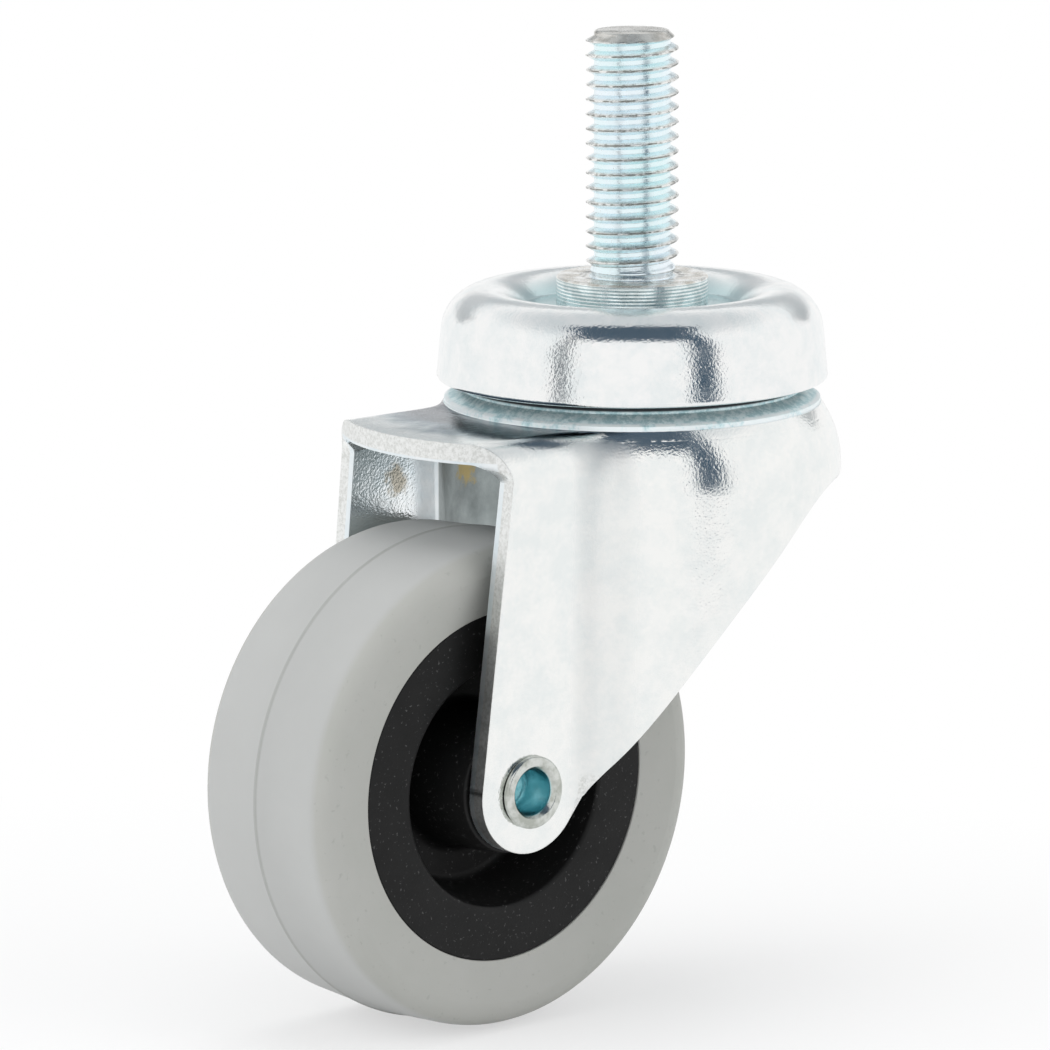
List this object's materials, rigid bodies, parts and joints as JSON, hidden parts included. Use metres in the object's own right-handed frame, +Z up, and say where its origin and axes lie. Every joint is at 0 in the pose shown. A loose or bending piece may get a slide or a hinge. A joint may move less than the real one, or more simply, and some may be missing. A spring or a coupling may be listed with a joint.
{
  "type": "swivel castor",
  "caption": "Swivel castor with a threaded stem, double ball race, deep-drawn steel fork and a moulded wheel with a soft tyre.",
  "frame": {"origin": "on the swivel axis, at the flat top face of the stem's collar", "axes": "+Z up along the stem and the swivel axis, wheel trails towards -X, wheel axle along Y"},
  "size_m": [0.0711, 0.0428, 0.0982],
  "materials": {
    "stem_zinc": "bright zinc plated, turned",
    "cap_zinc": "bright zinc plated, pressed sheet",
    "fork_zinc": "bright zinc plated, deep-drawn sheet",
    "rivet_zinc": "bright zinc plated",
    "race_steel": "pressed and hardened",
    "sleeve_steel": "cut tube",
    "ball_steel": "polished",
    "tyre_rubber": "matt light grey, non-marking",
    "hub_plastic": "fine moulded grain, black"
  },
  "bodies": {
    "mount": {"threaded_stem": "stem_zinc", "swivel_cap": "cap_zinc", "lower_race": "race_steel"},
    "upper_ball_ring": {"upper_ball_01": "ball_steel", "upper_ball_02": "ball_steel", "upper_ball_03": "ball_steel", "upper_ball_04": "ball_steel", "upper_ball_05": "ball_steel", "upper_ball_06": "ball_steel", "upper_ball_07": "ball_steel", "upper_ball_08": "ball_steel", "upper_ball_09": "ball_steel", "upper_ball_10": "ball_steel", "upper_ball_11": "ball_steel", "upper_ball_12": "ball_steel", "upper_ball_13": "ball_steel", "upper_ball_14": "ball_steel", "upper_ball_15": "ball_steel", "upper_ball_16": "ball_steel", "upper_ball_17": "ball_steel"},
    "lower_ball_ring": {"lower_ball_01": "ball_steel", "lower_ball_02": "ball_steel", "lower_ball_03": "ball_steel", "lower_ball_04": "ball_steel", "lower_ball_05": "ball_steel", "lower_ball_06": "ball_steel", "lower_ball_07": "ball_steel", "lower_ball_08": "ball_steel", "lower_ball_09": "ball_steel", "lower_ball_10": "ball_steel", "lower_ball_11": "ball_steel", "lower_ball_12": "ball_steel", "lower_ball_13": "ball_steel", "lower_ball_14": "ball_steel"},
    "fork": {"fork": "fork_zinc", "axle_rivet": "rivet_zinc", "axle_sleeve": "sleeve_steel"},
    "wheel": {"tyre": "tyre_rubber", "wheel_hub": "hub_plastic"}
  },
  "joints": [
    {"name": "swivel", "type": "hinge", "parent": "mount", "child": "fork", "pos_m": [0, 0, 0], "axis": [0, 0, 1], "continuous": true},
    {"name": "wheel_spin", "type": "hinge", "parent": "fork", "child": "wheel", "pos_m": [-0.0246, 0, -0.0481], "axis": [0, 1, 0], "continuous": true},
    {"name": "upper_ball_run", "type": "hinge", "parent": "mount", "child": "upper_ball_ring", "pos_m": [0, 0, 0], "axis": [0, 0, 1], "continuous": true},
    {"name": "lower_ball_run", "type": "hinge", "parent": "mount", "child": "lower_ball_ring", "pos_m": [0, 0, 0], "axis": [0, 0, 1], "continuous": true}
  ],
  "couplings": [
    {"joint": "upper_ball_run", "follows": "swivel", "ratio": 0.5},
    {"joint": "lower_ball_run", "follows": "swivel", "ratio": 0.5}
  ]
}
